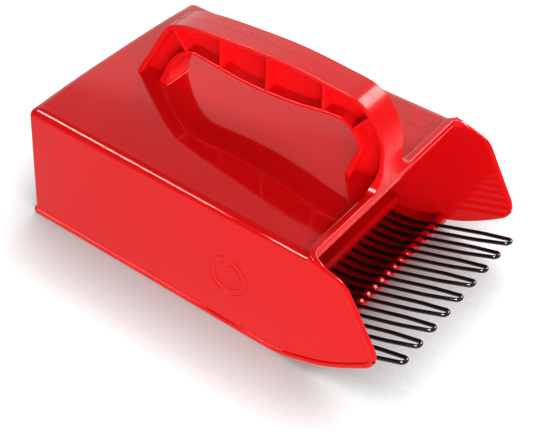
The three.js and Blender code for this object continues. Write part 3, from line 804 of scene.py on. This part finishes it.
def plastic(
    name, colour, worn_colour, roughness, wave_height,
    smudges=0.5, scuffs=0.5, gloss=0.5, tint=(1, 1, 1, 1), satin_and_light_above=None,
):
    """A moulded plastic or a dipped coat; above a given height its skin can be satin, and painted light
    makes it paler there.
    """
    material = bpy.data.materials.new(name)
    material.use_nodes = True
    tree = material.node_tree
    shader = tree.nodes["Principled BSDF"]
    shader.inputs["IOR"].default_value = 1.5
    shader.inputs["Specular IOR Level"].default_value = gloss
    shader.inputs["Specular Tint"].default_value = tint
    worn = add_node(tree, "ShaderNodeGroup", node_tree=wear)
    worn.inputs["smudge amount"].default_value = smudges
    worn.inputs["scuff amount"].default_value = scuffs
    mix = add_node(tree, "ShaderNodeMix", {
        0: worn.outputs["smudges"], 6: colour, 7: worn_colour}, data_type="RGBA")
    colour_out = mix.outputs[2]
    rough = add_node(tree, "ShaderNodeMath", {
        0: worn.outputs["smudges"], 1: smudge_roughness, 2: roughness}, operation="MULTIPLY_ADD")
    rougher = add_node(tree, "ShaderNodeMath", {
        0: worn.outputs["scuffs"], 1: scuff_roughness, 2: rough.outputs[0]}, operation="MULTIPLY_ADD")
    if satin_and_light_above is not None:
        spot = add_node(tree, "ShaderNodeTexCoord")
        height = add_node(tree, "ShaderNodeSeparateXYZ", {0: spot.outputs["Object"]})
        satin_and_light_share = add_node(tree, "ShaderNodeMapRange", {
            "Value": height.outputs["Z"], "From Min": satin_and_light_above, "From Max": satin_and_light_above + satin_and_light_run,
            "To Min": 0, "To Max": 1})
        rougher = add_node(tree, "ShaderNodeMath", {
            0: satin_and_light_share.outputs[0], 1: satin_roughness, 2: rougher.outputs[0]}, operation="MULTIPLY_ADD")
        # Painted light: above that height the colour turns paler, standing in for the brighter light on the
        # handle.
        painted_light_mix = add_node(tree, "ShaderNodeMix", {
            0: satin_and_light_share.outputs[0], 6: colour_out, 7: painted_lit_red}, data_type="RGBA")
        colour_out = painted_light_mix.outputs[2]
    tree.links.new(colour_out, shader.inputs["Base Color"])
    tree.links.new(rougher.outputs[0], shader.inputs["Roughness"])
    moulded = add_node(tree, "ShaderNodeGroup", node_tree=waves)
    bump = add_node(tree, "ShaderNodeBump", {
        "Strength": 1, "Distance": wave_height, "Height": moulded.outputs["height"]})
    tree.links.new(bump.outputs[0], shader.inputs["Normal"])
    return material


glow_red = (1, 0.13, 0.12, 1)
moulded_wave = 0.03 * mm
shell_red = plastic(
    "shell_red",
    colour=(0.58, 0.003, 0.004, 1),
    worn_colour=(0.54, 0.006, 0.007, 1),
    roughness=0.05,
    wave_height=moulded_wave,
    smudges=0.3,
    scuffs=0.3,
    gloss=0.75,
    tint=glow_red,
    # Above this height the skin is satin, and painted lighter for the light on the handle.
    satin_and_light_above=body_height + 1.5 * mm,
)
shell.data.materials.append(shell_red)

# Comb: nine loops of steel wire with a glossy black dipped coat. Each is bent flat,
# laid on the floor, and rises with it out of the mouth to a narrow round nose.
leg_half = 3.4 * mm
nose_radius = 2.2 * mm
taper_run = 20 * mm
taper_ease = 2 * mm
taper_step = 0.1 * mm
root_inset = 7.5 * mm
coat_wave = 0.01 * mm
wire_root_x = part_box("comb_clamp_bar")[0][0] + root_inset
wire_bend = floor_bend - wire_lift
straight_x = bend_start_x + wire_bend * sin(comb_angle)
straight_z = floor_bend - wire_bend * cos(comb_angle)
straight_run = (tip_centre_x - straight_x) / cos(comb_angle)


def on_slope(run, y):
    """The place at a run up the straight part of the comb, from the end of the bend."""
    return (straight_x + run * cos(comb_angle), y, straight_z + run * sin(comb_angle))


half_loop = [(wire_root_x, leg_half, wire_lift)]
for i in range(13):
    turn = comb_angle * i / 12
    half_loop.append((bend_start_x + wire_bend * sin(turn), leg_half, floor_bend - wire_bend * cos(turn)))
taper_start = straight_run - taper_run
half_loop += [
    on_slope(taper_start - taper_ease, leg_half),
    on_slope(taper_start + taper_ease, leg_half - taper_step),
]
nose_start = straight_run - nose_radius
for i in range(9):
    turn = pi / 2 * i / 8
    half_loop.append(on_slope(nose_start + nose_radius * sin(turn), nose_radius * cos(turn)))
wire_line = half_loop + [(x, -y, z) for x, y, z in reversed(half_loop[:-1])]
first_loop = sweep("wire", wire_line, ellipse(wire_radius, wire_radius, 24))
select_all_of(first_loop)
bpy.ops.mesh.normals_make_consistent(inside=False)
bpy.ops.object.mode_set(mode="OBJECT")
bpy.ops.object.shade_smooth_by_angle(angle=radians(50))
wire_black = plastic(
    "wire_black",
    colour=(0.004, 0.004, 0.005, 1),
    worn_colour=(0.010, 0.010, 0.011, 1),
    roughness=0.1,
    wave_height=coat_wave,
    gloss=0.7,
)
for i in range(9):
    name = f"tine_loop_{i + 1}"
    low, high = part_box(name)
    wire = copy_of(first_loop, f"wire_{i + 1}")
    bpy.ops.transform.translate(value=(0, (low[1] + high[1]) / 2, 0))
    bpy.ops.object.transform_apply(location=True, rotation=True, scale=True)
    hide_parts(name)
    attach(wire, "root")
    wire.data.materials.append(wire_black)
bpy.data.objects.remove(first_loop)

# Floor and clamp bar: two more red mouldings. The floor closes the scoop from below
# and carries the comb up its ramp; the bar presses the wires' roots onto the floor.
# Both are screwed on from below, and their edges are slightly rounded.
plate_round = 0.25 * mm
floor_reach = 1.5 * mm
floor_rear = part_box("floor_plate")[0][0] + mm


def softened(node, name, radius):
    """A copy of a flat-sided node with its edges rounded."""
    copy = copy_of(node, name)
    select_all_of(copy)
    bpy.ops.mesh.remove_doubles(threshold=0.01 * mm)
    bpy.ops.mesh.dissolve_limited(angle_limit=radians(1))
    bpy.ops.mesh.select_all(action="DESELECT")
    bpy.ops.mesh.edges_select_sharp(sharpness=radians(40))
    bpy.ops.mesh.bevel(offset=radius, segments=2, affect="EDGES", clamp_overlap=True)
    bpy.ops.object.mode_set(mode="OBJECT")
    bpy.ops.object.shade_smooth_by_angle(angle=radians(32))
    copy.data.materials.clear()
    return copy


for node_name, kind in (("floor_plate", "floor"), ("comb_clamp_bar", "clamp")):
    piece = softened(nodes[node_name], f"{kind}_moulding", plate_round)
    # The floor's rear edge reaches back to the leaning wall. The bar has no points so far back.
    for vertex in piece.data.vertices:
        if vertex.co.x < floor_rear:
            vertex.co.x -= floor_reach
    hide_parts(node_name)
    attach(piece, "root")
    piece.data.materials.append(plastic(
        f"{kind}_red",
        colour=(0.62, 0.003, 0.004, 1),
        worn_colour=(0.56, 0.008, 0.009, 1),
        roughness=0.1,
        wave_height=moulded_wave,
        scuffs=0.6,
        gloss=0.9,
        tint=glow_red,
    ))

# Screws: eleven countersunk steel screws with a zinc coat and a cross recess, turned
# in from below: six hold the floor to the bosses, five hold the clamp bar.
screw_radius = 1.5 * mm
head_radius = 3 * mm
head_height = 1.6 * mm
head_edge = 0.25 * mm
head_set = 0.15 * mm
point_share = 0.1
recess_radius = 1.7 * mm
recess_half = 0.42 * mm
recess_depth = 1.3 * mm
recess_round = 0.06 * mm
zinc_grain = 0.02 * mm
turn_start, turn_step = 0.3, 0.7


def model_screw(name, length):
    """A countersunk screw on the Z axis, head down."""
    bpy.ops.object.select_all(action="DESELECT")
    bpy.ops.mesh.primitive_cylinder_add(
        radius=head_radius, depth=head_edge, location=(0, 0, head_set + head_edge / 2), vertices=48)
    bpy.ops.object.transform_apply(location=True)
    screw = bpy.context.object
    for face in screw.data.polygons:
        face.select = face.normal.z > 0.9
    bpy.ops.object.mode_set(mode="EDIT")
    bpy.ops.mesh.select_mode(type="FACE")
    bpy.ops.mesh.extrude_region_move(TRANSFORM_OT_translate={"value": (0, 0, head_height - head_edge)})
    bpy.ops.transform.resize(value=(screw_radius / head_radius, screw_radius / head_radius, 1))
    shank = length - screw_radius - head_height - head_set
    bpy.ops.mesh.extrude_region_move(TRANSFORM_OT_translate={"value": (0, 0, shank)})
    bpy.ops.mesh.extrude_region_move(TRANSFORM_OT_translate={"value": (0, 0, screw_radius)})
    bpy.ops.transform.resize(value=(point_share, point_share, 1))
    finish_edit()
    arms = []
    for turn in (0, pi / 2):
        bpy.ops.object.select_all(action="DESELECT")
        bpy.ops.mesh.primitive_cube_add(
            size=1,
            location=(0, 0, head_set),
            rotation=(0, 0, turn),
            scale=(2 * recess_radius, 2 * recess_half, 2 * recess_depth),
        )
        bpy.ops.object.mode_set(mode="EDIT")
        arms.append(finish_edit())
    combine(screw, arms, "DIFFERENCE")
    screw.name = name
    select_all_of(screw)
    bpy.ops.mesh.select_all(action="DESELECT")
    bpy.ops.mesh.edges_select_sharp(sharpness=radians(60))
    bpy.ops.mesh.bevel(offset=recess_round, segments=2, affect="EDGES", clamp_overlap=True)
    bpy.ops.object.mode_set(mode="OBJECT")
    bpy.ops.object.shade_smooth_by_angle(angle=radians(35))
    return screw


screw_steel = bpy.data.materials.new("screw_steel")
screw_steel.use_nodes = True
tree = screw_steel.node_tree
shader = tree.nodes["Principled BSDF"]
shader.inputs["Metallic"].default_value = 1
bright_zinc, dull_zinc = (0.62, 0.63, 0.66, 1), (0.42, 0.42, 0.43, 1)
zinc_roughness, dull_roughness = 0.28, 0.25
worn = add_node(tree, "ShaderNodeGroup", {
    "smudge size": 300, "smudge amount": 0.8, "scuff size": 3000}, node_tree=wear)
tint = add_node(tree, "ShaderNodeMix", {
    0: worn.outputs["smudges"], 6: bright_zinc, 7: dull_zinc}, data_type="RGBA")
tree.links.new(tint.outputs[2], shader.inputs["Base Color"])
rough = add_node(tree, "ShaderNodeMath", {
    0: worn.outputs["smudges"], 1: dull_roughness, 2: zinc_roughness}, operation="MULTIPLY_ADD")
tree.links.new(rough.outputs[0], shader.inputs["Roughness"])
zinc = add_node(tree, "ShaderNodeGroup", {
    "wave size": 400, "grain size": 4000, "grain share": 0.5}, node_tree=waves)
bump = add_node(tree, "ShaderNodeBump", {
    "Strength": 1, "Distance": zinc_grain, "Height": zinc.outputs["height"]})
tree.links.new(bump.outputs[0], shader.inputs["Normal"])
for kind, count in (("floor_screw", 6), ("clamp_screw", 5)):
    first = model_screw(kind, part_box(f"{kind}_1")[1][2])
    for i in range(count):
        node_name = f"{kind}_{i + 1}"
        low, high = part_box(node_name)
        copy = copy_of(first, f"{kind}_part_{i + 1}")
        turn = turn_step * i + turn_start
        bpy.ops.transform.rotate(value=turn, orient_axis="Z", center_override=(0, 0, 0))
        bpy.ops.transform.translate(value=((low[0] + high[0]) / 2, (low[1] + high[1]) / 2, 0))
        bpy.ops.object.transform_apply(location=True, rotation=True, scale=True)
        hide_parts(node_name)
        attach(copy, "root")
        copy.data.materials.append(screw_steel)
    bpy.data.objects.remove(first)

# Camera: its place, angles and focal length were solved from the edges of the box, the cheeks
# and the comb in the photograph. The focal length is in pixels of the photograph's width.
focal_pixels = 1207.05
photo_pixels = 550
film_width = 36
camera_place = (mouth_x + 213.18 * mm, -419.25 * mm, 479.67 * mm)
yaw, pitch, roll = radians(34.0156), radians(42.6292), radians(3.4229)
backward = Vector((sin(yaw) * cos(pitch), -cos(yaw) * cos(pitch), sin(pitch)))
level_right = Vector((cos(yaw), sin(yaw), 0))
level_up = backward.cross(level_right)
right = level_right * cos(roll) + level_up * sin(roll)
up = level_up * cos(roll) - level_right * sin(roll)


def turned_to(rightward, upward, outward, place):
    """The matrix of a camera or a lamp at a place, which looks against its outward axis."""
    matrix = Matrix((rightward, upward, outward)).transposed().to_4x4()
    matrix.translation = place
    return matrix


camera_data = bpy.data.cameras.new("camera")
camera_data.sensor_width = film_width
camera_data.sensor_fit = "HORIZONTAL"
camera_data.lens = focal_pixels * film_width / photo_pixels
camera = bpy.data.objects.new("camera", camera_data)
camera.matrix_world = turned_to(right, up, backward, camera_place)
bpy.context.scene.collection.objects.link(camera)
bpy.context.scene.camera = camera

# Stage: a pale paper floor with a painted contact shadow where the rake stands close over it, under a soft
# bright sky.
# Three softboxes are only mirrored: two draw the broken highlight on the near top edge, and one
# stands behind. Three more give plain light without a mirror image.
bpy.ops.object.select_all(action="DESELECT")
bpy.ops.mesh.primitive_plane_add(size=6)
floor = bpy.context.object
floor.name = "floor"
floor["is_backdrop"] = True
floor_paper = bpy.data.materials.new("floor_paper")
floor_paper.use_nodes = True
tree = floor_paper.node_tree
paper = tree.nodes["Principled BSDF"]
paper.inputs["Base Color"].default_value = (0.45, 0.45, 0.45, 1)
paper.inputs["Roughness"].default_value = 0.9
paper.inputs["Specular IOR Level"].default_value = 0
paper.inputs["Emission Color"].default_value = (1, 1, 1, 1)
shadow_reach = 65 * mm
shadow_power = 3.2
unseen_glow = 0.33
# Painted shadow: the floor's glow, seen only by the camera, is dimmed by ambient occlusion near the rake.
seen = add_node(tree, "ShaderNodeLightPath")
contact = add_node(tree, "ShaderNodeAmbientOcclusion", {"Distance": shadow_reach})
shade = add_node(tree, "ShaderNodeMath", {0: contact.outputs["AO"], 1: shadow_power}, operation="POWER")
seen_glow = add_node(tree, "ShaderNodeMapRange", {
    "Value": seen.outputs["Is Camera Ray"], "To Min": unseen_glow})
tree.links.new(shade.outputs[0], seen_glow.inputs["To Max"])
tree.links.new(seen_glow.outputs[0], paper.inputs["Emission Strength"])
floor.data.materials.append(floor_paper)

world = bpy.data.worlds.new("studio")
bpy.context.scene.world = world
world.use_nodes = True
sky = world.node_tree
background = sky.nodes["Background"]
background.inputs["Color"].default_value = (1, 1, 1, 1)
panel_direction = (-0.458, 0.763, 0.458)
sky_glow = 0.22
panel_diffuse, panel_gloss = 0.45, 1.25
direction = add_node(sky, "ShaderNodeTexCoord")
facing = add_node(sky, "ShaderNodeVectorMath", {
    0: direction.outputs["Generated"], 1: panel_direction}, operation="DOT_PRODUCT")
panel = add_node(sky, "ShaderNodeMapRange", {
    "Value": facing.outputs["Value"], "From Min": 0.4, "From Max": 1, "To Min": 0, "To Max": 0.9},
    interpolation_type="SMOOTHSTEP")
height = add_node(sky, "ShaderNodeSeparateXYZ", {0: direction.outputs["Generated"]})
fade = add_node(sky, "ShaderNodeValToRGB", {0: height.outputs["Z"]})
stops = fade.color_ramp.elements
stops[0].position, stops[0].color = 0.622, (1, 1, 1, 1)
stops[1].position, stops[1].color = 0.95, (0.04, 0.04, 0.04, 1)
fade_shares = ((0.634, 0.65), (0.70, 0.52), (0.76, 0.3), (0.84, 0.08))
for place, share in fade_shares:
    stops.new(place).color = (share, share, share, 1)
kind = add_node(sky, "ShaderNodeLightPath")
panel_power = add_node(sky, "ShaderNodeMath", {
    0: kind.outputs["Is Glossy Ray"], 1: panel_gloss, 2: panel_diffuse}, operation="MULTIPLY_ADD")
panel_glow = add_node(sky, "ShaderNodeMath", {
    0: panel.outputs[0], 1: panel_power.outputs[0]}, operation="MULTIPLY")
glow = add_node(sky, "ShaderNodeMath", {
    0: panel_glow.outputs[0], 1: fade.outputs[0], 2: sky_glow}, operation="MULTIPLY_ADD")
sky.links.new(glow.outputs[0], background.inputs["Strength"])


def add_softbox(name, direction, distance, size, energy, mirrored):
    """An area light that faces the rake: it is either only mirrored, or lights without a mirror image."""
    light = bpy.data.lights.new(name, "AREA")
    light.shape = "RECTANGLE"
    light.size, light.size_y = size
    light.energy = energy
    lamp = bpy.data.objects.new(name, light)
    place = Vector(direction).normalized() * distance
    outward = place.normalized()
    upward = outward.cross(Vector((1, 0, 0))).normalized()
    sideways = upward.cross(outward)
    lamp.matrix_world = turned_to(sideways, upward, outward, place)
    lamp.visible_diffuse = not mirrored
    lamp.visible_glossy = mirrored
    bpy.context.scene.collection.objects.link(lamp)


add_softbox(
    "rear_edge_light", direction=(-0.767, -0.531, 1.063), distance=1.415,
    size=(0.395, 0.3), energy=21, mirrored=True)
add_softbox(
    "front_edge_light", direction=(-0.286, -0.531, 1.063), distance=1.222,
    size=(0.319, 0.3), energy=28, mirrored=True)
add_softbox(
    "back_light", direction=(0.27, 0.66, 0.70), distance=1.3,
    size=(0.5, 0.5), energy=16, mirrored=True)
add_softbox(
    "fill_light", direction=(0.6, -0.75, 0.28), distance=1.5,
    size=(0.9, 0.6), energy=26, mirrored=False)
add_softbox(
    "side_light", direction=(0.9, -0.3, 0.3), distance=1.5,
    size=(0.9, 0.6), energy=9, mirrored=False)
add_softbox(
    "top_light", direction=(-0.1, 0.55, 0.83), distance=0.7,
    size=(0.4, 0.4), energy=2, mirrored=False)
bpy.context.scene.view_settings.view_transform = "Standard"

low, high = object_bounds()
